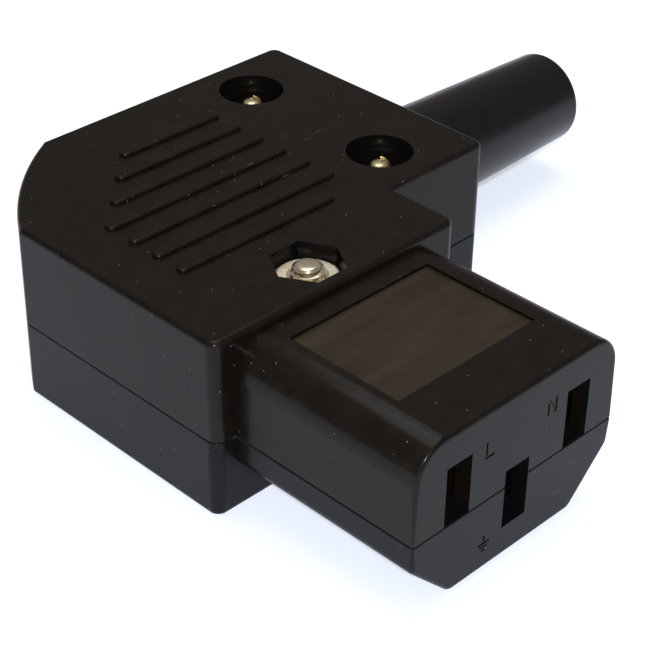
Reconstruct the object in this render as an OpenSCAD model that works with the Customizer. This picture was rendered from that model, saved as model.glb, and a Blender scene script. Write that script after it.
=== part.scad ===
// Right-angle C13 connector for a cord, wired by hand: two moulded half shells,
// a rubber boot, three brass contacts with screw terminals, a cord clamp and
// the screws that hold them. Millimetres, +Z up. The nose points to -Y and the
// boot leaves the end of the body towards +X.

/* [Nose] */
// Width of the nose
nose_w = 23.6; // [23:0.1:24.4]
// Height of the nose
nose_h = 15.6; // [15.2:0.1:16]
// Length of the nose in front of the body
nose_len = 19.2; // [18.6:0.2:22]
// Radius of the two upper corners of the nose
nose_r = 3.2; // [2.4:0.1:3.8]
// Size of the two keying chamfers under the nose
nose_key = 4.5; // [4:0.1:5]
// Height of the middle of the nose above the parting plane
nose_mid = 0.85; // [0.7:0.05:1]
// Thickness of the front wall of the nose
face_wall = 1.6; // [1.2:0.1:2]

/* [Poles] */
// Distance between the line and the neutral slots
pole_pitch = 14; // [13.6:0.1:14.4]
// Height of the earth slot below the other two
earth_drop = 4; // [3.8:0.1:4.2]
// Width of a slot in the nose face
slot_w = 2.8; // [2.4:0.1:3]
// Height of a slot in the nose face
slot_h = 5.6; // [5.2:0.1:5.8]

/* [Body] */
// Width of the body behind the nose
body_w = 27.8; // [26.6:0.2:32]
// Depth of the body behind the nose
body_depth = 35.4; // [35:0.2:42]
// Height of the upper shell above the parting plane
body_up = 9.55; // [9.4:0.05:11]
// Depth of the lower shell below the parting plane
body_down = 7.45; // [7.4:0.05:9]
// Reach of the cord end beyond the side of the body
end_out = 12.4; // [12.2:0.2:18]
// Depth of the cord end
end_depth = 27.9; // [27.3:0.1:29]
// Size of the cut at the rear corner
corner_cut = 11.1; // [8:0.1:11.4]
// Swell of that cut beyond a straight line
corner_bow = 1; // [0.6:0.1:1.4]
// Radius of the upright corners
corner_r = 1; // [0.6:0.1:1.4]
// Radius of the edges round the top and the bottom
edge_r = 0.5; // [0.3:0.05:0.6]
// Thickness of the walls
wall = 1.8; // [1.6:0.05:1.9]
// Radius along the parting edges of the shells
part_r = 0.15; // [0.12:0.01:0.2]
// Height of the lip that locates one shell in the other
lip_h = 0.9; // [0.6:0.1:1.2]
// Thickness of that lip
lip_t = 0.8; // [0.7:0.05:0.9]

/* [Grip bars] */
// Number of bars on the upper shell
bar_count = 7; // [3:1:7]
// Distance from one bar to the next
bar_pitch = 3.04; // [2.6:0.02:3.1]
// Width of a bar
bar_w = 1.2; // [0.8:0.1:1.6]
// Height of a bar above the shell
bar_h = 0.35; // [0.2:0.05:0.5]
// Length of the longest bars between the middles of their round ends
bar_len = 19.6; // [16:0.2:21]
// Distance of the first bar from the front of the body
bar_front = 10; // [9.4:0.1:10.4]
// Distance of the bars' right ends from the side of the body
bar_right = 2.45; // [2:0.05:3]
// Number of bars that have the full length, counted from the front
bar_full = 4; // [3:1:4]

/* [Rating panel] */
// Width of the recessed panel on the nose
panel_w = 15.8; // [10:0.2:17]
// Depth of the panel along the nose
panel_l = 11.6; // [8:0.2:12.4]
// Distance of the panel from the nose face
panel_front = 5.5; // [4:0.1:6]
// How far the panel is let in
panel_deep = 0.3; // [0.2:0.05:0.4]

/* [Housing screws] */
// Diameter of the recesses for the screw ends and heads
recess_d = 6.2; // [5.9:0.1:6.4]
// Depth of the recesses in the top
recess_top = 3.2; // [2.4:0.1:4]
// Depth of the recesses in the bottom
recess_bottom = 3.3; // [3:0.1:3.6]
// Distance between the two housing screws
screw_span = 17; // [16.6:0.1:17.4]
// Distance of the housing screws from the end of the body
screw_back = 8.3; // [8.2:0.05:8.5]
// Shank diameter of the housing screws and the clamp screws
tapping_d = 2.9; // [2.5:0.1:2.9]
// How far the screw tips stay below the top
tip_below = 1.1; // [0.6:0.1:1.6]

/* [Closing screw] */
// Thread diameter of the closing screw
closing_d = 3; // [2.5:0.1:3]
// Distance of the closing screw behind the front of the body
closing_back = 3.9; // [3.8:0.1:4.2]
// Width across the flats of the nut
nut_flats = 5.5; // [5:0.1:5.6]
// Thickness of the nut
nut_t = 2.4; // [1.8:0.1:2.6]
// Clearance between the nut and its pocket
nut_play = 0.15; // [0.15:0.05:0.4]
// How far the nut lies below the top
nut_below = 1.3; // [0.8:0.1:1.6]
// How far the screw stands out of the nut
closing_out = 1.1; // [0.4:0.1:1.2]

/* [Contacts] */
// Thickness of the contact strip
strip_t = 0.6; // [0.4:0.05:0.7]
// Distance of the sleeves behind the front wall of the nose
sleeve_back = 1.3; // [0.4:0.1:1.4]
// Length of the sleeve that grips the blade
sleeve_len = 13; // [11.6:0.2:13.4]
// Height of the spring leaves
leaf_h = 5.2; // [4.6:0.1:5.4]
// Gap between the leaves where they grip
grip_gap = 1.8; // [1.5:0.1:1.9]
// Width of the tails of the line and the neutral contact
tail_w = 3.2; // [2.6:0.1:3.2]

/* [Terminals] */
// Length of a terminal block
block_l = 6; // [5:0.1:6.2]
// Side walls of a terminal block
block_wall = 0.8; // [0.6:0.05:0.8]
// Room for the wire above the tail
wire_room = 2.4; // [2:0.1:2.5]
// Thickness of the threaded top of a block
block_top = 2.2; // [1.8:0.1:2.2]
// Thread diameter of a terminal screw
terminal_d = 2.9; // [2.5:0.1:3]

/* [Boot] */
// Outer diameter of the boot where it leaves the body
boot_d = 11; // [10:0.1:11.6]
// Outer diameter at the free end
boot_end_d = 9.6; // [9:0.1:10.6]
// Length of the boot outside the body
boot_len = 26.5; // [18:0.5:40]
// Bore for the cord
cord_d = 6.8; // [5:0.1:7.2]
// Diameter of the neck that the shells grip
neck_d = 9; // [8.6:0.1:9.2]
// Diameter of the flange inside the body
flange_d = 10.8; // [10.4:0.1:10.8]
// Thickness of that flange
flange_t = 1.5; // [1.2:0.1:1.6]

/* [Cord clamp] */
// Width of the clamp along the cord
clamp_w = 4.6; // [4:0.1:4.8]
// Distance between the two clamp screws
clamp_span = 13.2; // [13:0.1:13.6]
// Thickness of the clamp feet
clamp_t = 2.2; // [1.8:0.1:2.4]

/* [Fit] */
// Running gap round screws, contacts and the boot neck
gap = 0.1; // [0.05:0.01:0.12]
// Clearance of the contact leaves in their channels
play = 0.3; // [0.2:0.05:0.35]

/* [Hidden] */
$fn = 48;
eps = 0.01;
over = 1;

// The plan of the body, with the middle of the nose face at x = y = 0.
body_x0 = -body_w / 2;
body_x1 = body_w / 2;
body_y0 = nose_len;
body_y1 = nose_len + body_depth;
end_x1 = body_x1 + end_out;
end_y0 = body_y1 - end_depth;
cord_y = body_y1 - end_depth / 2;
boot_x1 = end_x1 + boot_len;

// Heights are from the parting plane; the frame has z = 0 under the body.
nose_top = nose_mid + nose_h / 2;
nose_bottom = nose_mid - nose_h / 2;
nose_edge = 0.4;
key_r = 1;

// The swollen corner cut is an arc through both ends of its chord.
cut_half = corner_cut / sqrt(2);
bow_r = (cut_half * cut_half + corner_bow * corner_bow) / (2 * corner_bow);
bow_off = (bow_r - corner_bow) / sqrt(2);
bow_x = body_x0 + corner_cut / 2 + bow_off;
bow_y = body_y1 - corner_cut / 2 - bow_off;

// Bosses.
boss_wall = 0.9;
boss_r = recess_d / 2 + boss_wall;
stem_r = tapping_d / 2 + gap + 1.4 * boss_wall;
closing_y = body_y0 + closing_back;
closing_boss_r = 3.6;
pocket_flats = nut_flats + 2 * nut_play;
pocket_r = pocket_flats / 2 / cos(30);
pocket_floor = body_up - nut_below - nut_t;
screw_x = end_x1 - screw_back;
screw_ys = [cord_y - screw_span / 2, cord_y + screw_span / 2];

// Pan heads.
head_h = 2;
closing_head_r = closing_d * 0.92;
tapping_head_r = tapping_d * 0.9;
cross_w = 0.8;
cross_l = 2.8;
cross_deep = 1.1;

// Contacts and their channels.
sleeve_y0 = face_wall + sleeve_back;
sleeve_y1 = sleeve_y0 + sleeve_len;
sleeve_in = 1.6;
mouth_in = 1.7;
leaf_out = mouth_in + strip_t;
channel_r = leaf_out + play - gap;
gate_r = tail_w / 2 + play;
gate_y = sleeve_y1 + gap;
channel_top = slot_h + 2 * gap;
block_y0 = body_y0 + wall + 4 * gap;
block_y1 = block_y0 + block_l;
earth_tail_w = 2.6;
earth_x = closing_boss_r + play + earth_tail_w / 2;
earth_block_y0 = block_y1 + 8 * gap;
bar_over = 2 * gap;

// Terminal blocks.
block_floor = 0.9;
block_r = tail_w / 2 + gap + block_wall;
block_h = block_floor + strip_t + wire_room + block_top;
terminal_head_r = terminal_d * 0.76;
terminal_head_h = 1.5;
driver_slot = 0.7;

// Boot seat.
flange_x0 = end_x1 - wall - gap / 2 - flange_t;
cradle_t = 1.2;
boot_edge = 0.5;

// Cord clamp.
clamp_foot_z = 0.6;
post_r = 2.6;
clamp_x = earth_x + block_r + post_r + 0.8;
arch_t = 2;
foot_end = 2.4;
clamp_ys = [cord_y - clamp_span / 2, cord_y + clamp_span / 2];
clamp_screw_deep = 6.2;

// The frame stands under the middle of the whole connector.
module seated() {
    translate([-(body_x0 + boot_x1) / 2, -body_y1 / 2, body_down])
        children();
}

// ---- outer forms -------------------------------------------------------

// Outline of a round post: radius r, height h, a round upper edge and the
// small round edge at the parting plane.
module post_half(r, h, edge, foot) {
    polygon(concat(
        [[0, 0]],
        [for (a = [0:30:90]) [r - foot + foot * sin(a), foot - foot * cos(a)]],
        [for (a = [0:15:90]) [r - edge + edge * cos(a), h - edge + edge * sin(a)]],
        [[0, h]]));
}

module corner_post(h) {
    rotate_extrude($fn = 32) post_half(corner_r, h, edge_r, part_r);
}

// A block of the body from the parting plane up, with round corners.
module round_block(x0, y0, x1, y1, h) {
    hull()
        for (x = [x0 + corner_r, x1 - corner_r], y = [y0 + corner_r, y1 - corner_r])
            translate([x, y, 0]) corner_post(h);
}

// What the swollen cut takes from the rear corner.
module corner_waste(h) {
    difference() {
        translate([body_x0 - over, body_y1 - corner_cut, -over])
            cube([corner_cut + over, corner_cut + over, h + 2 * over]);
        translate([bow_x, bow_y, 0])
            rotate_extrude($fn = 180) post_half(bow_r, h, edge_r, part_r);
    }
}

module body_half(h) {
    difference() {
        union() {
            round_block(body_x0, body_y0, body_x1, body_y1, h);
            round_block(body_x1 - 3 * corner_r, end_y0, end_x1, body_y1, h);
        }
        corner_waste(h);
    }
}

// A post of the nose, lying along Y with its round end at the nose face.
module nose_post(x, z, r, edge) {
    translate([x, body_y0 + wall / 2, z])
        rotate([90, 0, 0])
            rotate_extrude($fn = r > 2 ? 48 : 24)
                post_half(r, body_y0 + wall / 2, edge, 0);
}

// The parting edges of the nose have a small radius, as those of the body.
module nose_upper() {
    hull()
        for (s = [-1, 1]) {
            nose_post(s * (nose_w / 2 - nose_r), nose_top - nose_r, nose_r, nose_edge);
            nose_post(s * (nose_w / 2 - part_r), part_r, part_r, part_r);
        }
}

module nose_lower() {
    key_in = key_r * tan(22.5);
    hull()
        for (s = [-1, 1]) {
            nose_post(s * (nose_w / 2 - part_r), -part_r, part_r, part_r);
            nose_post(s * (nose_w / 2 - key_r), nose_bottom + nose_key + key_in, key_r, nose_edge);
            nose_post(s * (nose_w / 2 - nose_key - key_in), nose_bottom + key_r, key_r, nose_edge);
        }
}

// ---- plans of the inside ----------------------------------------------

// The body's plan, drawn in from the outside by inset.
module body_plan(inset) {
    difference() {
        union() {
            translate([body_x0 + inset, body_y0 + inset])
                square([body_w - 2 * inset, body_depth - 2 * inset]);
            translate([0, end_y0 + inset])
                square([end_x1 - inset, end_depth - 2 * inset]);
        }
        difference() {
            translate([body_x0 - over, body_y1 - corner_cut - inset])
                square([corner_cut + over + inset, corner_cut + over + inset]);
            translate([bow_x, bow_y]) circle(r = bow_r - inset, $fn = 180);
        }
    }
}

// Where the lip stops: at the contacts in front and at the boot.
module lip_breaks(grow) {
    translate([-pole_pitch / 2 - channel_r - grow, body_y0 - over])
        square([pole_pitch + 2 * channel_r + 2 * grow, wall + 2 * over]);
    translate([end_x1 - wall - over, cord_y - neck_d / 2 - 1 - grow])
        square([wall + 2 * over, neck_d + 2 + 2 * grow]);
}

module lip() {
    linear_extrude(lip_h)
        difference() {
            body_plan(wall - lip_t);
            body_plan(wall);
            lip_breaks(2 * gap);
        }
}

module lip_groove() {
    translate([0, 0, -eps])
        linear_extrude(lip_h + gap + eps)
            difference() {
                body_plan(wall - lip_t - gap);
                body_plan(wall + gap);
                lip_breaks(gap);
            }
}

// Everything inside the shells that is round about the cord's line.
module cord_hole(x0, x1, r) {
    translate([x0, cord_y, 0]) rotate([0, 90, 0]) cylinder(r = r, h = x1 - x0);
}

// A rib across the cord's line, between the parting plane and height z.
module cord_cradle(z, top) {
    x0 = flange_x0 - gap - cradle_t;
    translate([x0, cord_y - screw_span / 2, min(z, top)])
        cube([cradle_t, screw_span, abs(z - top)]);
}

// ---- openings for the contacts ----------------------------------------

module slots() {
    for (x = [-pole_pitch / 2, pole_pitch / 2])
        translate([x - slot_w / 2, -over, 0])
            cube([slot_w, over + face_wall + eps, slot_h]);
    translate([-slot_w / 2, -over, -earth_drop])
        cube([slot_w, over + face_wall + eps, slot_h]);
}

// A channel for a sleeve, then the narrower gate for its tail.
module channel(x, z0) {
    translate([x - channel_r, face_wall, z0])
        cube([2 * channel_r, gate_y - face_wall, channel_top]);
    translate([x - gate_r, gate_y - eps, z0])
        cube([2 * gate_r, body_y0 + wall + over - gate_y, channel_top]);
}

// The earth tail steps aside, round the boss of the closing screw.
module earth_step() {
    x1 = earth_x + earth_tail_w / 2 + play;
    translate([-gate_r, gate_y - eps, -earth_drop])
        cube([gate_r + x1, body_y0 + wall + over - gate_y, channel_top / 2]);
}

// ---- the shells --------------------------------------------------------

// A grip bar with a round top edge, lying along X from its left end.
module grip_bar(len) {
    e = min(bar_h, bar_w / 2) * 0.7;
    rotate([90, 0, 90])
        linear_extrude(len) {
            translate([-bar_w / 2, -over]) square([bar_w, bar_h - e + over]);
            translate([-bar_w / 2 + e, -over]) square([bar_w - 2 * e, bar_h + over]);
            for (s = [-1, 1])
                translate([s * (bar_w / 2 - e), bar_h - e]) circle(r = e, $fn = 24);
        }
    for (x = [0, len])
        translate([x, 0, 0])
            rotate_extrude($fn = 24) {
                translate([0, -over]) square([bar_w / 2, bar_h - e + over]);
                translate([0, -over]) square([bar_w / 2 - e, bar_h + over]);
                intersection() {
                    translate([bar_w / 2 - e, bar_h - e]) circle(r = e, $fn = 24);
                    square([bar_w, bar_w]);
                }
            }
}

// The bars' left ends follow the cut corner; the first bar is short at its
// right end too, beside the nut.
module grip_bars() {
    right = body_x1 - bar_right;
    for (i = [0:bar_count - 1]) {
        y = body_y0 + bar_front + i * bar_pitch;
        reach = min(bar_len, bar_len - (i - bar_full + 1) * bar_pitch);
        short = i == 0 ? bar_pitch : 0;
        translate([right - reach, y, body_up]) grip_bar(reach - short);
    }
}

module upper_shell() {
    color("#1b1a1a")
        seated()
            difference() {
                union() {
                    difference() {
                        union() {
                            body_half(body_up);
                            nose_upper();
                        }
                        translate([0, 0, -over])
                            linear_extrude(body_up - wall + over) body_plan(wall);
                    }
                    upper_bosses();
                    grip_bars();
                }
                upper_cuts();
            }
}

// A screw boss from the parting plane to height h, thicker from z1 on.
module boss(x, y, h, stem, head, z1) {
    translate([x, y, 0]) cylinder(r = stem, h = h);
    translate([x, y, z1]) cylinder(r = head, h = h - z1);
}

module upper_bosses() {
    inner = body_up - wall;
    for (y = screw_ys)
        boss(screw_x, y, inner + eps, stem_r, boss_r, body_up - recess_top - boss_wall);
    boss(0, closing_y, inner + eps, closing_boss_r, pocket_r + boss_wall, pocket_floor - boss_wall);
    cord_cradle(inner + eps, 0);
}

module upper_cuts() {
    slots();
    channel(-pole_pitch / 2, 0);
    channel(pole_pitch / 2, 0);
    translate([0, 0, -earth_drop]) channel(0, 0);
    lip_groove();
    for (y = screw_ys) {
        translate([screw_x, y, body_up - recess_top])
            cylinder(d = recess_d, h = recess_top + over);
        translate([screw_x, y, -over]) cylinder(d = tapping_d + 2 * gap, h = body_up);
    }
    translate([0, closing_y, pocket_floor])
        cylinder(r = pocket_r, h = body_up, $fn = 6);
    translate([0, closing_y, -over]) cylinder(d = closing_d + 2 * gap, h = body_up);
    translate([-panel_w / 2, panel_front, nose_top - panel_deep])
        cube([panel_w, panel_l, over]);
    cord_hole(end_x1 - wall - over, end_x1 + over, neck_d / 2 + gap);
    cord_hole(flange_x0 - 2 * cradle_t, end_x1 - wall, cord_d / 2 + 4 * gap);
    cord_hole(flange_x0 - gap, end_x1 - wall, flange_d / 2 + gap);
}

module lower_shell() {
    color("#1d1c1c")
        seated()
            difference() {
                union() {
                    difference() {
                        union() {
                            mirror([0, 0, 1]) body_half(body_down);
                            nose_lower();
                        }
                        translate([0, 0, -body_down + wall])
                            linear_extrude(body_down) body_plan(wall);
                    }
                    lower_bosses();
                    lip();
                }
                lower_cuts();
            }
}

module lower_bosses() {
    inner = body_down - wall;
    mirror([0, 0, 1]) {
        for (y = screw_ys)
            boss(screw_x, y, inner + eps, stem_r, boss_r, body_down - recess_bottom - boss_wall);
        translate([0, closing_y, 0]) cylinder(r = closing_boss_r, h = inner + eps);
    }
    cord_cradle(-inner - eps, 0);
    // Posts and a cradle for the cord clamp.
    for (y = clamp_ys)
        translate([clamp_x, y, -inner - eps])
            cylinder(r = post_r, h = inner + clamp_foot_z + eps);
    translate([clamp_x - cradle_t, cord_y - clamp_span / 2, -inner - eps])
        cube([2 * cradle_t, clamp_span, inner - 1 + eps]);
    // Ribs that bear up the terminal blocks.
    for (s = [-1, 1])
        translate([s * (pole_pitch / 2 + block_r / 2) - cradle_t / 2, body_y0 + wall / 2, -inner - eps])
            cube([cradle_t, block_y1 - body_y0 - wall / 2, inner - block_floor + eps]);
    translate([earth_x - block_r / 2, earth_block_y0, -inner - eps])
        cube([block_r, block_l, inner - earth_drop - block_floor + eps]);
}

module lower_cuts() {
    slots();
    channel(0, -earth_drop);
    earth_step();
    for (y = screw_ys) {
        translate([screw_x, y, -body_down - over])
            cylinder(d = recess_d, h = recess_bottom + over);
        translate([screw_x, y, -body_down])
            cylinder(d = tapping_d + 2 * gap, h = body_down + over);
    }
    translate([0, closing_y, -body_down - over])
        cylinder(r = closing_head_r + 2 * gap, h = recess_bottom + over);
    translate([0, closing_y, -body_down])
        cylinder(d = closing_d + 2 * gap, h = body_down + over);
    for (y = clamp_ys)
        translate([clamp_x, y, clamp_foot_z + clamp_t - clamp_screw_deep - 4 * gap])
            cylinder(d = tapping_d + 2 * gap, h = body_down);
    cord_hole(end_x1 - wall - over, end_x1 + over, neck_d / 2 + gap);
    cord_hole(flange_x0 - 2 * cradle_t, end_x1 - wall, cord_d / 2 + 4 * gap);
    cord_hole(flange_x0 - gap, end_x1 - wall, flange_d / 2 + gap);
    cord_hole(clamp_x - 2 * cradle_t, clamp_x + 2 * cradle_t, cord_d / 2);
}

// ---- the boot ----------------------------------------------------------

module boot() {
    r1 = boot_d / 2;
    r2 = boot_end_d / 2;
    x_neck = end_x1 - wall - gap / 2 - flange_x0;
    x_body = x_neck + wall + gap;
    x_end = boot_x1 - flange_x0;
    color("#161616")
        seated()
            translate([flange_x0, cord_y, 0])
                rotate([0, 90, 0])
                    rotate_extrude($fn = 96)
                        polygon(concat(
                            [[cord_d / 2, 0], [flange_d / 2, 0], [flange_d / 2, x_neck],
                             [neck_d / 2, x_neck], [neck_d / 2, x_body], [r1, x_body]],
                            [for (a = [0:15:90])
                                [r2 - boot_edge + boot_edge * cos(a),
                                 x_end - boot_edge + boot_edge * sin(a)]],
                            [[cord_d / 2, x_end]]));
}

// ---- screws and the nut ------------------------------------------------

// A pan head standing on z = 0 with a cross recess in its top.
module pan_head(r) {
    difference() {
        rotate_extrude() {
            square([r, head_h * 0.4]);
            intersection() {
                translate([0, head_h * 0.4])
                    scale([r / (head_h * 0.6), 1]) circle(r = head_h * 0.6);
                square([r, head_h]);
            }
        }
        for (a = [0, 90])
            rotate([0, 0, a])
                translate([-cross_l / 2, -cross_w / 2, head_h - cross_deep])
                    cube([cross_l, cross_w, head_h]);
    }
}

module closing_screw() {
    seat = -body_down + recess_bottom;
    len = pocket_floor + nut_t + closing_out - seat;
    color("#c9c3ad")
        seated()
            translate([0, closing_y, seat]) {
                mirror([0, 0, 1]) pan_head(closing_head_r);
                cylinder(d = closing_d, h = len - 0.4);
                translate([0, 0, len - 0.4 - eps])
                    cylinder(d1 = closing_d, d2 = closing_d - 0.8, h = 0.4 + eps);
            }
}

module closing_nut() {
    r = nut_flats / 2 / cos(30);
    color("#c9c3ad")
        seated()
            translate([0, closing_y, pocket_floor])
                difference() {
                    intersection() {
                        cylinder(r = r, h = nut_t, $fn = 6);
                        rotate_extrude()
                            polygon([[0, 0], [r - 0.3, 0], [r, 0.25], [r, nut_t - 0.45],
                                     [nut_flats / 2 - 0.2, nut_t], [0, nut_t]]);
                    }
                    translate([0, 0, -over]) cylinder(d = closing_d + gap, h = nut_t + 2 * over);
                }
}

// A self-tapping screw with its head in the bottom and its tip in the top.
module housing_screw(y) {
    seat = -body_down + recess_bottom;
    tip = 1.2;
    len = body_up - tip_below - seat;
    color("#c4bda6")
        seated()
            translate([screw_x, y, seat]) {
                mirror([0, 0, 1]) pan_head(tapping_head_r);
                cylinder(d = tapping_d, h = len - tip);
                translate([0, 0, len - tip - eps])
                    cylinder(d1 = tapping_d, d2 = 1, h = tip + eps);
            }
}

module front_housing_screw() { housing_screw(screw_ys[0]); }

module rear_housing_screw() { housing_screw(screw_ys[1]); }

module clamp_screw(y) {
    color("#c4bda6")
        seated()
            translate([clamp_x, y, clamp_foot_z + clamp_t]) {
                pan_head(tapping_head_r);
                translate([0, 0, -clamp_screw_deep]) cylinder(d = tapping_d, h = clamp_screw_deep);
            }
}

module front_clamp_screw() { clamp_screw(clamp_ys[0]); }

module rear_clamp_screw() { clamp_screw(clamp_ys[1]); }

// ---- contacts ----------------------------------------------------------

// One spring leaf in plan: flared mouth, grip, then straight to the rear.
module leaf_plan() {
    grip = grip_gap / 2;
    t = strip_t;
    l = sleeve_len;
    polygon([[mouth_in, 0], [grip, l * 0.18], [grip, l * 0.24], [sleeve_in, l * 0.5],
             [sleeve_in, l], [sleeve_in + t, l], [sleeve_in + t, l * 0.5],
             [grip + t, l * 0.24], [grip + t, l * 0.18], [mouth_in + t, 0]]);
}

// The folded sleeve: two leaves standing on a web, at height z0.
module sleeve(x, z0) {
    translate([x, sleeve_y0, z0]) {
        linear_extrude(leaf_h) {
            leaf_plan();
            mirror([1, 0]) leaf_plan();
        }
        translate([-sleeve_in - strip_t, sleeve_len / 2, 0])
            cube([2 * sleeve_in + 2 * strip_t, sleeve_len / 2, strip_t]);
    }
}

module side_contact(side) {
    color("#b8923f")
        seated() {
            sleeve(side * pole_pitch / 2, 0);
            translate([side * pole_pitch / 2 - tail_w / 2, sleeve_y1 - over, 0])
                cube([tail_w, block_y1 - bar_over - sleeve_y1 + over, strip_t]);
        }
}

module line_contact() { side_contact(-1); }

module neutral_contact() { side_contact(1); }

// The earth tail is cut with a step to one side.
module earth_contact() {
    x1 = earth_x + earth_tail_w / 2;
    step_y1 = closing_y - closing_boss_r - gap;
    color("#b8923f")
        seated() {
            sleeve(0, -earth_drop);
            translate([0, 0, -earth_drop])
                linear_extrude(strip_t)
                    polygon([[-tail_w / 2, sleeve_y1 - over], [tail_w / 2, sleeve_y1 - over],
                             [tail_w / 2, gate_y + gap], [x1, gate_y + gap],
                             [x1, earth_block_y0 + block_l - bar_over],
                             [x1 - earth_tail_w, earth_block_y0 + block_l - bar_over],
                             [x1 - earth_tail_w, step_y1], [-tail_w / 2, step_y1]]);
        }
}

// ---- terminals ---------------------------------------------------------

// A brass block threaded over the tail at height z0, wire way along Y.
module terminal(x, y0, z0, way) {
    color("#c2a14e")
        seated()
            translate([x, y0, z0 - block_floor])
                difference() {
                    translate([-block_r, 0, 0]) cube([2 * block_r, block_l, block_h]);
                    translate([-way / 2 - gap, -over, block_floor])
                        cube([way + 2 * gap, block_l + 2 * over, strip_t + wire_room]);
                    translate([0, block_l / 2, block_floor + strip_t])
                        cylinder(d = terminal_d + gap, h = block_h);
                }
}

module line_terminal() { terminal(-pole_pitch / 2, block_y0, 0, tail_w); }

module neutral_terminal() { terminal(pole_pitch / 2, block_y0, 0, tail_w); }

module earth_terminal() { terminal(earth_x, earth_block_y0, -earth_drop, tail_w); }

// A cheese-head screw driven down to the tail at height z0.
module terminal_screw(x, y0, z0) {
    tail_top = z0 + strip_t;
    block_upper = z0 - block_floor + block_h;
    color("#cfcab8")
        seated()
            translate([x, y0 + block_l / 2, tail_top]) {
                cylinder(d = terminal_d, h = block_upper - tail_top);
                translate([0, 0, block_upper - tail_top])
                    difference() {
                        cylinder(r = terminal_head_r, h = terminal_head_h);
                        translate([-terminal_head_r - over, -driver_slot / 2, terminal_head_h / 2])
                            cube([2 * terminal_head_r + 2 * over, driver_slot, terminal_head_h]);
                    }
            }
}

module line_terminal_screw() { terminal_screw(-pole_pitch / 2, block_y0, 0); }

module neutral_terminal_screw() { terminal_screw(pole_pitch / 2, block_y0, 0); }

module earth_terminal_screw() { terminal_screw(earth_x, earth_block_y0, -earth_drop); }

// ---- cord clamp --------------------------------------------------------

// A moulded bridge: two feet on the posts and an arch over the cord.
module cord_clamp() {
    foot = clamp_span / 2 + foot_end;
    color("#3a3a3a")
        seated()
            translate([clamp_x, cord_y, 0])
                difference() {
                    translate([-clamp_w / 2, 0, 0])
                        rotate([90, 0, 90])
                            linear_extrude(clamp_w)
                                difference() {
                                    union() {
                                        translate([-foot, clamp_foot_z]) square([2 * foot, clamp_t]);
                                        intersection() {
                                            circle(r = cord_d / 2 + arch_t);
                                            translate([-foot, clamp_foot_z])
                                                square([2 * foot, 2 * foot]);
                                        }
                                    }
                                    circle(r = cord_d / 2);
                                }
                    for (s = [-1, 1])
                        translate([0, s * clamp_span / 2, 0]) {
                            cylinder(d = tapping_d + 2 * gap, h = 3 * clamp_t);
                            translate([0, 0, clamp_foot_z + clamp_t])
                                cylinder(r = tapping_head_r + gap, h = foot);
                        }
                }
}

upper_shell();
lower_shell();
boot();
closing_screw();
closing_nut();
front_housing_screw();
rear_housing_screw();
line_contact();
neutral_contact();
earth_contact();
line_terminal();
neutral_terminal();
earth_terminal();
line_terminal_screw();
neutral_terminal_screw();
earth_terminal_screw();
cord_clamp();
front_clamp_screw();
rear_clamp_screw();
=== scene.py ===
"""Looks of a right-angled C13 connector with a rubber boot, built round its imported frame."""
import math

import bmesh
import bpy
from mathutils import Matrix, Vector


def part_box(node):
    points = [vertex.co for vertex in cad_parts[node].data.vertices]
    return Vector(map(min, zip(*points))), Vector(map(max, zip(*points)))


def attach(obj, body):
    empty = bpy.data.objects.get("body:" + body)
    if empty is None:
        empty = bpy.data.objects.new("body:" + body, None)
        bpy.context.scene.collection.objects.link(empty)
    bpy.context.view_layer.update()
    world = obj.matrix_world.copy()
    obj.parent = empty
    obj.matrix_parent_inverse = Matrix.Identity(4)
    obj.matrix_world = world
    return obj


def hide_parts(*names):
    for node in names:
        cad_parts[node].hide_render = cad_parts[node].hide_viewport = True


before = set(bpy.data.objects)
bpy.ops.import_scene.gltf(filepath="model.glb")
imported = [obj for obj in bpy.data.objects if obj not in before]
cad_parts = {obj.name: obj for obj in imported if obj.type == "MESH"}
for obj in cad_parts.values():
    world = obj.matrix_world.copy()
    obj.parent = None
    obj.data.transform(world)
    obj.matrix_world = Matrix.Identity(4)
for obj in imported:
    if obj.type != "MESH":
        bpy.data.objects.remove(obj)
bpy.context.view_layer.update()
MM = 0.001

# ---- Housing shells ----------------------------------------------------------
# Two half shells of black nylon, injection moulded in a finely eroded steel
# tool. They are clamped together by three screws, and meet in a fine line.

bar_height = 0.35 * MM
nose_length = 19.2 * MM
nose_rise = 8.65 * MM
panel_recess = 0.3 * MM
rim_rounding = 0.3 * MM
arris_rounding = 0.1 * MM

upper_lo, upper_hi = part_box("upper_shell")
parting = upper_lo.z
shell_top = upper_hi.z - bar_height
nose_face = upper_lo.y
nose_x = (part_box("line_contact")[0].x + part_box("neutral_contact")[1].x) / 2
panel_floor = parting + nose_rise - panel_recess
panel_start = nose_face + 3 * MM
body_front = nose_face + nose_length
# Two places closer together than this count as one.
near = 0.02 * MM


def linear(hexcode):
    """A colour written as sRGB hex, as the linear values that a socket takes."""
    channels = [int(hexcode[i:i + 2], 16) / 255 for i in (1, 3, 5)]
    return [c / 12.92 if c <= 0.04045 else ((c + 0.055) / 1.055) ** 2.4 for c in channels] + [1.0]


def add(tree, kind, inputs=None, **settings):
    """Adds one node; inputs holds values, colours and the sockets to link."""
    node = tree.nodes.new(kind)
    for key, value in settings.items():
        setattr(node, key, value)
    for key, value in (inputs or {}).items():
        if isinstance(value, bpy.types.NodeSocket):
            tree.links.new(value, node.inputs[key])
        else:
            node.inputs[key].default_value = value
    return node


def new_material(name):
    """An empty material and its tree, with the shader wired to the output."""
    material = bpy.data.materials.new(name)
    material.use_nodes = True
    tree = material.node_tree
    tree.nodes.clear()
    shader = add(tree, "ShaderNodeBsdfPrincipled")
    add(tree, "ShaderNodeOutputMaterial", {"Surface": shader.outputs[0]})
    return material, tree, shader


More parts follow.
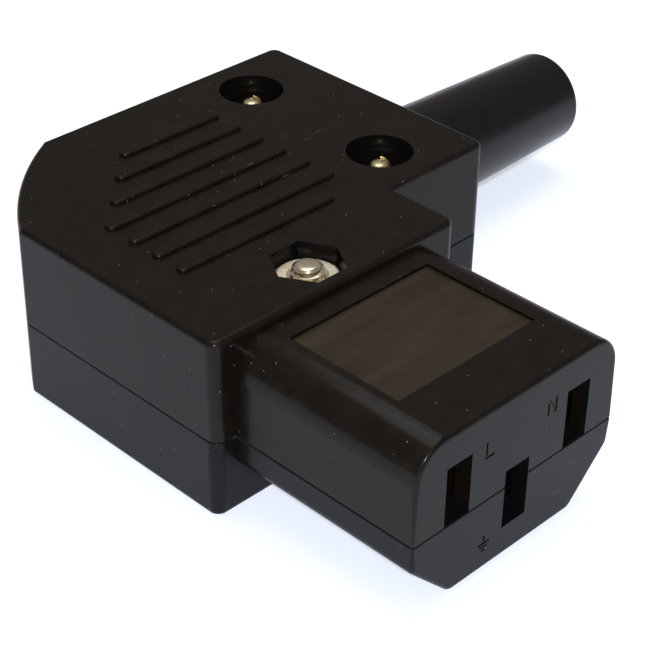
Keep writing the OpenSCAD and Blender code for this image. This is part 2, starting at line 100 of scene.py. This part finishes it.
def moulded(name, dark, light, gloss, grain=0.25, grain_depth=0.012, streak=1.0, dust=0.7):
    """Nylon 66 out of an eroded tool: satin, with a fine grain, a little dust and
    rubbing marks. gloss is its mean roughness, grain and grain_depth are in
    millimetres, streak draws the clouds out sideways and dust is how much shows."""
    material, tree, shader = new_material(name)
    place = add(tree, "ShaderNodeTexCoord").outputs["Object"]
    drawn = add(tree, "ShaderNodeMapping", {
        "Vector": place, "Scale": (1 / streak, 1, 1)}).outputs[0]
    # Flow of the melt: soft clouds about 2 mm across.
    clouds = add(tree, "ShaderNodeTexNoise", {
        "Vector": drawn, "Scale": 1 / (2.2 * MM), "Detail": 5.0, "Roughness": 0.62}).outputs[0]
    cloudy = add(tree, "ShaderNodeMapRange", {0: clouds, 1: 0.3, 2: 0.7}).outputs[0]
    colour = add(tree, "ShaderNodeMix", {
        0: cloudy, 6: linear(dark), 7: linear(light)}, data_type="RGBA").outputs[2]
    rough = add(tree, "ShaderNodeMapRange", {
        0: clouds, 1: 0.3, 2: 0.7, 3: gloss - 0.03, 4: gloss + 0.04}).outputs[0]
    # Dust is finer than this; it is drawn about 0.1 mm across so that it shows.
    cells = add(tree, "ShaderNodeTexVoronoi", {"Vector": place, "Scale": 1 / (1.3 * MM)})
    speck = add(tree, "ShaderNodeMapRange", {
        0: cells.outputs["Distance"], 1: 0.03, 2: 0.06, 3: dust, 4: 0.0}).outputs[0]
    # Rubbing marks: the same specks, wider apart and drawn out ten times one way.
    turned = add(tree, "ShaderNodeMapping", {
        "Vector": place, "Rotation": (0.5, 0.3, 0.65), "Scale": (0.16, 1.6, 1.6)}).outputs[0]
    dashes = add(tree, "ShaderNodeTexVoronoi", {"Vector": turned, "Scale": 1 / (2.6 * MM)})
    scratch = add(tree, "ShaderNodeMapRange", {
        0: dashes.outputs["Distance"], 1: 0.015, 2: 0.04, 3: 0.6 * dust, 4: 0.0}).outputs[0]
    dirt = add(tree, "ShaderNodeMath", {0: speck, 1: scratch}, operation="MAXIMUM").outputs[0]
    colour = add(tree, "ShaderNodeMix", {
        0: dirt, 6: colour, 7: linear("#7d7974")}, data_type="RGBA").outputs[2]
    rough = add(tree, "ShaderNodeMath", {
        0: dirt, 1: 0.4, 2: rough}, operation="MULTIPLY_ADD").outputs[0]
    fine = add(tree, "ShaderNodeTexNoise", {
        "Vector": place, "Scale": 1 / (grain * MM), "Detail": 3.0, "Roughness": 0.6}).outputs[0]
    bump = add(tree, "ShaderNodeBump", {
        "Strength": 0.35, "Distance": grain_depth * MM, "Height": fine}).outputs[0]
    tree.links.new(colour, shader.inputs["Base Color"])
    tree.links.new(rough, shader.inputs["Roughness"])
    tree.links.new(bump, shader.inputs["Normal"])
    tree.links.new(bump, shader.inputs["Coat Normal"])
    shader.inputs["IOR"].default_value = 1.53
    shader.inputs["Specular IOR Level"].default_value = 0.07
    # The skin of the moulding has a thin shine over its grain.
    shader.inputs["Coat Weight"].default_value = 0.2
    shader.inputs["Coat Roughness"].default_value = 0.15
    return material


def middle_of(node_name):
    """The middle of a CAD node's box."""
    lo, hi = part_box(node_name)
    return (lo + hi) / 2


def merged(node_name):
    """A copy of a CAD node's mesh as one closed skin, with its flat faces whole."""
    bm = bmesh.new()
    bm.from_mesh(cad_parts[node_name].data)
    bmesh.ops.remove_doubles(bm, verts=bm.verts, dist=0.002 * MM)
    bmesh.ops.dissolve_limit(bm, angle_limit=math.radians(0.5), verts=bm.verts, edges=bm.edges)
    return bm


def broken_edges(bm, size, wanted, segments=2, clamped=True):
    """Rounds the sharp edges for which wanted says so. Where the outline has short
    arcs, clamped is turned off, since they would hold the whole rounding back."""
    sharp = [e for e in bm.edges if len(e.link_faces) == 2
             and e.calc_face_angle(0) > math.radians(50) and wanted(e)]
    bmesh.ops.bevel(bm, geom=sharp, offset=size, segments=segments, profile=0.5,
                    affect="EDGES", material=-1, clamp_overlap=clamped)


def piece(name, bm, materials, node_name):
    """Makes the mesh an object on the root body, in place of its CAD node."""
    mesh = bpy.data.meshes.new(name)
    bm.to_mesh(mesh)
    bm.free()
    made = bpy.data.objects.new(name, mesh)
    bpy.context.scene.collection.objects.link(made)
    for material in materials:
        mesh.materials.append(material)
    mesh.shade_smooth()
    mesh.set_sharp_from_angle(angle=math.radians(36))
    # Faces square to the axes or at 45 degrees are flats; the rest belong to roundings.
    for face in mesh.polygons:
        x, y, z = (abs(n) for n in face.normal)
        face.use_smooth = max(x, y, z) < 0.99999 and (abs(x - z) > 0.001 or y > 0.001)
    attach(made, "root")
    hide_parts(node_name)


def stroke_cutter(bm, x, z, wide, high, turn=0.0, deep=0.08):
    """Adds the box that cuts one stroke into the nose face. Half of it stands in
    front of the face, so it is twice as thick as the stroke is deep."""
    made = bmesh.ops.create_cube(bm, size=1.0)["verts"]
    bmesh.ops.scale(bm, verts=made, vec=Vector((wide, 2 * deep, high)) * MM)
    bmesh.ops.rotate(bm, verts=made, matrix=Matrix.Rotation(math.radians(turn), 3, "Y"))
    bmesh.ops.translate(bm, verts=made, vec=(nose_x + x * MM, nose_face, parting + z * MM))


def engraved(bm, strokes):
    """The mesh with strokes cut into its nose face. A stroke has its place, width
    and height in millimetres and, where it slants, its turn in degrees."""
    cutter_bm = bmesh.new()
    for stroke in strokes:
        stroke_cutter(cutter_bm, *stroke)
    made = []
    for name, source in (("engraving", cutter_bm), ("blank", bm)):
        mesh = bpy.data.meshes.new(name)
        source.to_mesh(mesh)
        source.free()
        made.append(bpy.data.objects.new(name, mesh))
        bpy.context.scene.collection.objects.link(made[-1])
    cutter, blank = made
    cut = blank.modifiers.new("cut", "BOOLEAN")
    cut.operation = "DIFFERENCE"
    cut.solver = "EXACT"
    cut.use_self = True
    cut.object = cutter
    result = bmesh.new()
    result.from_object(blank, bpy.context.evaluated_depsgraph_get())
    # Removing a mesh takes its object with it.
    for leftover in made:
        bpy.data.meshes.remove(leftover.data)
    bmesh.ops.dissolve_limit(result, angle_limit=math.radians(0.5), verts=result.verts,
                             edges=result.edges)
    return result


def on_nose_rim(edge):
    """Whether an edge belongs to the outline of the nose face. Every slot lies
    within 9.5 mm of the nose's middle and within 6.9 mm of the parting."""
    return all(abs(v.co.y - nose_face) < near and (
        abs(v.co.x - nose_x) > 9.5 * MM or abs(v.co.z - parting) > 6.9 * MM) for v in edge.verts)


nylon_upper = moulded("moulded_black_nylon_upper", "#0c0907", "#18130e", 0.44)
nylon_lower = moulded("moulded_black_nylon_lower", "#0b0b0c", "#111012", 0.42)
# The pins that form the holes are polished, so their walls come out glossy.
nylon_glossy = moulded("moulded_nylon_off_polished_pins", "#0b0909", "#100e0d", 0.2, dust=0.0)
# The panel and the floors of the holes are eroded coarser and dull. Their lighter, browner colour
# is a painted sheen on the panel and painted light on the hole floors, which the walls shade.
eroded_nylon_painted_light = moulded("eroded_nylon_painted_sheen_and_light", "#262118", "#372f23", 0.4, grain=0.3,
                       grain_depth=0.02, streak=4.0, dust=0.0)

shell = merged("upper_shell")
broken_edges(shell, rim_rounding, on_nose_rim, 4, clamped=False)
broken_edges(shell, arris_rounding,
             lambda e: all(abs(v.co.z - shell_top) < near for v in e.verts))
# L and N beside the outer slots.
shell = engraved(shell, [
    (-3.95, 4.95, 0.26, 1.6), (-3.55, 4.28, 1.06, 0.26),
    (3.3, 5.2, 0.24, 1.5), (4.2, 5.2, 0.24, 1.5), (3.75, 5.2, 0.24, 1.6, -32)])
# The hex pocket and the two round recesses, each with a reach just past its walls.
holes = [(middle_of(name), reach * MM) for name, reach in (
    ("closing_nut", 3.8), ("front_housing_screw", 3.2), ("rear_housing_screw", 3.2))]
satin, painted_light_floor, glossy = range(3)  # in the order that the housing lists them
for face in shell.faces:
    middle = face.calc_center_median()
    looks_up = face.normal.z > 0.9
    upright = abs(face.normal.z) < 0.5
    on_panel = looks_up and abs(middle.z - panel_floor) < near \
        and panel_start < middle.y < body_front
    in_hole = middle.z < shell_top - 0.2 * MM and any(
        (middle - axis).xy.length < reach for axis, reach in holes)
    if in_hole and upright:
        face.material_index = glossy
    # The panel takes the painted sheen, and the hole floors take painted light in place of the
    # shade of their walls.
    elif on_panel or (in_hole and looks_up):
        face.material_index = painted_light_floor
    else:
        face.material_index = satin
piece("upper_housing", shell, [nylon_upper, eroded_nylon_painted_light, nylon_glossy],
      "upper_shell")

shell = merged("lower_shell")
broken_edges(shell, rim_rounding, on_nose_rim, 4, clamped=False)
broken_edges(shell, arris_rounding, lambda e: all(v.co.z < near for v in e.verts))
# The earth sign beside the middle slot.
shell = engraved(shell, [
    (-3.5, -3.95, 0.22, 0.75), (-3.5, -4.3, 1.3, 0.2), (-3.5, -4.65, 0.85, 0.2),
    (-3.5, -5.0, 0.4, 0.2)])
piece("lower_housing", shell, [nylon_lower], "lower_shell")

# ---- Contacts, terminals and cord clamp --------------------------------------
# Brass strip stamped and folded into sleeves, sawn brass blocks, and a clamp of
# grey nylon: they are inside, and only the sleeves show through the slots.

brass, tree, shader = new_material("rolled_brass")
place = add(tree, "ShaderNodeTexCoord").outputs["Object"]
drawn = add(tree, "ShaderNodeMapping", {"Vector": place, "Scale": (1, 0.08, 1)}).outputs[0]
# Rolling leaves lines along the strip, drawn 0.15 mm apart so that they show.
lines = add(tree, "ShaderNodeTexNoise", {
    "Vector": drawn, "Scale": 1 / (0.15 * MM), "Detail": 3.0}).outputs[0]
colour = add(tree, "ShaderNodeMix", {
    0: lines, 6: linear("#6b5126"), 7: linear("#8a6c38")}, data_type="RGBA").outputs[2]
rough = add(tree, "ShaderNodeMapRange", {
    0: lines, 1: 0.3, 2: 0.7, 3: 0.4, 4: 0.25}).outputs[0]
tree.links.new(colour, shader.inputs["Base Color"])
tree.links.new(rough, shader.inputs["Roughness"])
shader.inputs["Metallic"].default_value = 1.0

grey_nylon = moulded("moulded_grey_nylon", "#2c2c2c", "#3a3a3a", 0.45)

for name in ("line_contact", "neutral_contact", "earth_contact",
             "line_terminal", "neutral_terminal", "earth_terminal"):
    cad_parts[name].data.materials[0] = brass
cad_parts["cord_clamp"].data.materials[0] = grey_nylon

# ---- Boot --------------------------------------------------------------------
# A plain tapered tube of black PVC rubber. It is moulded in one piece, and its
# flange is trapped between the shells.

# Out of a smooth tool the rubber is satin, with soft light along the tube.
boot_rubber, tree, shader = new_material("moulded_pvc_rubber")
place = add(tree, "ShaderNodeTexCoord").outputs["Object"]
cloud = add(tree, "ShaderNodeTexNoise", {
    "Vector": place, "Scale": 1 / (3 * MM), "Detail": 4.0, "Roughness": 0.6}).outputs[0]
grain = add(tree, "ShaderNodeTexNoise", {
    "Vector": place, "Scale": 1 / (0.2 * MM), "Detail": 2.0}).outputs[0]
colour = add(tree, "ShaderNodeMix", {
    0: cloud, 6: linear("#0c0b0d"), 7: linear("#151315")}, data_type="RGBA").outputs[2]
rough = add(tree, "ShaderNodeMapRange", {
    0: cloud, 1: 0.3, 2: 0.7, 3: 0.26, 4: 0.34}).outputs[0]
bump = add(tree, "ShaderNodeBump", {
    "Strength": 0.3, "Distance": 0.004 * MM, "Height": grain}).outputs[0]
tree.links.new(colour, shader.inputs["Base Color"])
tree.links.new(rough, shader.inputs["Roughness"])
tree.links.new(bump, shader.inputs["Normal"])
shader.inputs["IOR"].default_value = 1.5
shader.inputs["Specular IOR Level"].default_value = 0.16
shader.inputs["Coat Weight"].default_value = 0.2
shader.inputs["Coat Roughness"].default_value = 0.3
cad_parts["boot"].data.materials[0] = boot_rubber

# ---- Nut and screws ----------------------------------------------------------
# A cold-formed M3 nut with a turned chamfer, on the rolled thread of the closing
# screw, both plated with nickel, and two self-tapping screws plated with zinc.
# Handling has dulled them unevenly.


def plated(name, dark, light, gloss):
    """Plated steel: bright, warm, with fine random marks; gloss is its roughness."""
    material, tree, shader = new_material(name)
    place = add(tree, "ShaderNodeTexCoord").outputs["Object"]
    cloud = add(tree, "ShaderNodeTexNoise", {
        "Vector": place, "Scale": 1 / (0.8 * MM), "Detail": 5.0, "Roughness": 0.65}).outputs[0]
    marks = add(tree, "ShaderNodeTexNoise", {
        "Vector": place, "Scale": 1 / (0.25 * MM), "Detail": 4.0, "Roughness": 0.7}).outputs[0]
    cloudy = add(tree, "ShaderNodeMapRange", {0: cloud, 1: 0.35, 2: 0.65}).outputs[0]
    colour = add(tree, "ShaderNodeMix", {
        0: cloudy, 6: linear(dark), 7: linear(light)}, data_type="RGBA").outputs[2]
    rough = add(tree, "ShaderNodeMapRange", {
        0: cloud, 1: 0.3, 2: 0.7, 3: gloss + 0.1, 4: gloss - 0.05}).outputs[0]
    bump = add(tree, "ShaderNodeBump", {
        "Strength": 0.6, "Distance": 0.015 * MM, "Height": marks}).outputs[0]
    tree.links.new(colour, shader.inputs["Base Color"])
    tree.links.new(rough, shader.inputs["Roughness"])
    tree.links.new(bump, shader.inputs["Normal"])
    shader.inputs["Metallic"].default_value = 1.0
    return material


def put_in_order(bm):
    """Gives the vertices and faces a fixed order, because spin makes the same ones
    each time but lists them differently from run to run."""
    by_place = sorted(bm.verts, key=lambda v: tuple(v.co))
    rank = {vert: number for number, vert in enumerate(by_place)}
    bm.verts.sort(key=rank.get)
    by_corners = sorted(bm.faces, key=lambda f: sorted(rank[v] for v in f.verts))
    bm.faces.sort(key={face: number for number, face in enumerate(by_corners)}.get)


def threaded_end(bm, x, y, start, end, core, crest, pitch, dome):
    """Adds the end of a screw between the heights start and end: a core with a
    dome on it, and a rolled thread round it, which runs out at the dome."""
    steps_round = 32
    arc = [(core * math.cos(a) ** 0.5, end - dome + dome * math.sin(a))
           for a in (math.radians(15 * i) for i in range(6))] + [(0, end)]
    outline = [bm.verts.new((x + r, y, z)) for r, z in [(0, start), (core, start)] + arc]
    edges = [bm.edges.new(pair) for pair in zip(outline, outline[1:])]
    bmesh.ops.spin(bm, geom=outline + edges, cent=(x, y, 0), axis=(0, 0, 1),
                   angle=math.tau, steps=steps_round, use_merge=True)
    core_verts = set(bm.verts)
    # The ridge of the thread has its root sunk in the core and a flat crest, and
    # stops a fifth of a turn below the end.
    root, flat = 0.32 * pitch, 0.08 * pitch
    ridge = [bm.verts.new((x + r, y, start + rise)) for r, rise in (
        (core * 0.95, -root), (crest, -flat), (crest, flat), (core * 0.95, root))]
    loop = bm.faces.new(ridge)
    turns = (end - start) / pitch - 0.2
    bmesh.ops.spin(bm, geom=ridge + list(loop.edges) + [loop], cent=(x, y, 0), axis=(0, 0, 1),
                   dvec=(0, 0, pitch / steps_round), angle=math.tau * turns,
                   steps=int(steps_round * turns))
    # Over the last 0.9 of the pitch the crest sinks into the core.
    for vert in set(bm.verts) - core_verts:
        out = Vector((vert.co.x - x, vert.co.y - y))
        room = crest - (crest - 0.9 * core) * max(0.0, 1 - (end - vert.co.z) / (0.9 * pitch))
        if out.length > room:
            vert.co.xy = Vector((x, y)) + out * (room / out.length)
    bmesh.ops.remove_doubles(bm, verts=bm.verts, dist=0.001 * MM)
    bmesh.ops.recalc_face_normals(bm, faces=bm.faces)
    put_in_order(bm)


def screw_with_thread(name, node_name, cut, material, slot, **thread):
    """A screw made whole: its CAD head and shank up to the height cut, and from
    there a threaded end that reaches as high as the CAD shank did."""
    middle = middle_of(node_name)
    bm = merged(node_name)
    bmesh.ops.bisect_plane(bm, geom=list(bm.verts) + list(bm.edges) + list(bm.faces),
                           plane_co=(0, 0, cut), plane_no=(0, 0, 1), clear_outer=True)
    bmesh.ops.holes_fill(bm, edges=[e for e in bm.edges if e.is_boundary], sides=0)
    bmesh.ops.recalc_face_normals(bm, faces=bm.faces)
    end_bm = bmesh.new()
    threaded_end(end_bm, middle.x, middle.y, cut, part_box(node_name)[1].z, **thread)
    end_mesh = bpy.data.meshes.new(name)
    end_bm.to_mesh(end_mesh)
    end_bm.free()
    bm.from_mesh(end_mesh)
    bpy.data.meshes.remove(end_mesh)
    piece(name, bm, [material], node_name)


nickel = plated("nickel_plated_steel", "#e6dab8", "#fdf7e8", 0.58)
nickel_thread = plated("nickel_plated_thread", "#d8caa8", "#fdf7ec", 0.2)
zinc = plated("zinc_plated_steel", "#d6c79c", "#f6ecce", 0.26)

nut = merged("closing_nut")
nut_axis = middle_of("closing_nut").xy
nut_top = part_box("closing_nut")[1].z
nut_bore_reach = 1.7 * MM
nut_countersink = 0.25 * MM
broken_edges(nut, nut_countersink, lambda e: all(
    (v.co.xy - nut_axis).length < nut_bore_reach and v.co.z > nut_top - near for v in e.verts), 1)
piece("hex_nut", nut, [nickel], "closing_nut")

screw_with_thread("threaded_closing_screw", "closing_screw", nut_top - 0.9 * MM,
                  nickel_thread, "nickel_steel",
                  core=1.12 * MM, crest=1.42 * MM, pitch=0.5 * MM, dome=0.2 * MM)
for where in ("front", "rear"):
    node_name = where + "_housing_screw"
    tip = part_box(node_name)[1].z
    screw_with_thread(where + "_self_tapping_screw", node_name, tip - 2.3 * MM,
                      zinc, "zinc_steel",
                      core=0.95 * MM, crest=1.35 * MM, pitch=1.0 * MM, dome=0.6 * MM)

for name in ("line_terminal_screw", "neutral_terminal_screw", "earth_terminal_screw"):
    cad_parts[name].data.materials[0] = nickel
for name in ("front_clamp_screw", "rear_clamp_screw"):
    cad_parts[name].data.materials[0] = zinc

# ---- Table, light and camera -------------------------------------------------
# A sheet of white paper in a dim, even room, with two softboxes above it and a
# small lamp beside the camera that puts glints on the edges and the screws.

floor_mesh = bpy.data.meshes.new("paper_floor")
sheet = bmesh.new()
bmesh.ops.create_grid(sheet, x_segments=1, y_segments=1, size=4.0)
sheet.to_mesh(floor_mesh)
sheet.free()
paper = bpy.data.objects.new("paper_floor", floor_mesh)
bpy.context.scene.collection.objects.link(paper)
white, tree, shader = new_material("white_paper")
shader.inputs["Base Color"].default_value = linear("#d6e0f4")
shader.inputs["Roughness"].default_value = 0.9
# The sheet glows a little to the camera and in reflections, so that it is white
# round the shadow, which it keeps.
path = add(tree, "ShaderNodeLightPath")
mirrored = add(tree, "ShaderNodeMath", {
    0: path.outputs["Is Glossy Ray"], 1: path.outputs["Is Transmission Ray"]}).outputs[0]
seen = add(tree, "ShaderNodeMath", {
    0: path.outputs["Is Camera Ray"], 1: mirrored}, use_clamp=True).outputs[0]
glow = add(tree, "ShaderNodeMath", {0: seen, 1: 0.5}, operation="MULTIPLY").outputs[0]
shader.inputs["Emission Color"].default_value = linear("#f2f5ff")
tree.links.new(glow, shader.inputs["Emission Strength"])
floor_mesh.materials.append(white)

# The room is a little darker in reflections than as a light.
world = bpy.data.worlds.new("dim_room")
bpy.context.scene.world = world
world.use_nodes = True
room = world.node_tree.nodes["Background"]
room.inputs["Color"].default_value = linear("#fff3ea")
path = add(world.node_tree, "ShaderNodeLightPath")
bright = add(world.node_tree, "ShaderNodeMath", {
    0: path.outputs["Is Glossy Ray"], 1: -0.14, 2: 0.39}, operation="MULTIPLY_ADD").outputs[0]
world.node_tree.links.new(bright, room.inputs["Strength"])

# The camera looks down at the nose from its left front, rolled by almost a degree.
azimuth, elevation, roll = (math.radians(a) for a in (-45.48, 33.77, 0.92))
aim = Vector((nose_x, nose_face, parting)) + Vector((-5.85, 15.27, 9.77)) * MM
distance = 141.1 * MM
back = Vector((math.sin(azimuth) * math.cos(elevation),
               -math.cos(azimuth) * math.cos(elevation), math.sin(elevation)))
across = Vector((0, 0, 1)).cross(back).normalized()
upward = back.cross(across)
right = across * math.cos(roll) + upward * math.sin(roll)
up = upward * math.cos(roll) - across * math.sin(roll)
camera = bpy.data.objects.new("camera", bpy.data.cameras.new("camera"))
camera.data.sensor_width = 36
camera.data.lens = 101.07
camera.data.clip_start = 0.01
camera.data.clip_end = 20
camera.matrix_world = Matrix.Translation(aim + back * distance) @ Matrix(
    (right, up, back)).transposed().to_4x4()
bpy.context.scene.collection.objects.link(camera)
bpy.context.scene.camera = camera


def lamp(name, direction, reach, size, card):
    """An area lamp that looks at the connector from a direction. reach and size are
    in millimetres. Alone it would light a facing white card to the share card."""
    data = bpy.data.lights.new(name, "AREA")
    data.shape = "DISK"
    data.size = size * MM
    data.energy = card * math.pi * math.pi * (reach * MM) ** 2
    holder = bpy.data.objects.new(name, data)
    toward = Vector(direction).normalized()
    holder.location = aim + toward * reach * MM
    holder.rotation_euler = toward.to_track_quat("Z", "Y").to_euler()
    bpy.context.scene.collection.objects.link(holder)


lamp("overhead_softbox", (0.15, 0.2, 1), reach=500, size=360, card=0.3)
lamp("far_softbox", (0.42, 0.42, 0.8), reach=420, size=130, card=0.035)
lamp("camera_lamp", (-0.6, -0.62, 0.66), reach=380, size=22, card=0.8)

bpy.context.scene.view_settings.view_transform = "Standard"
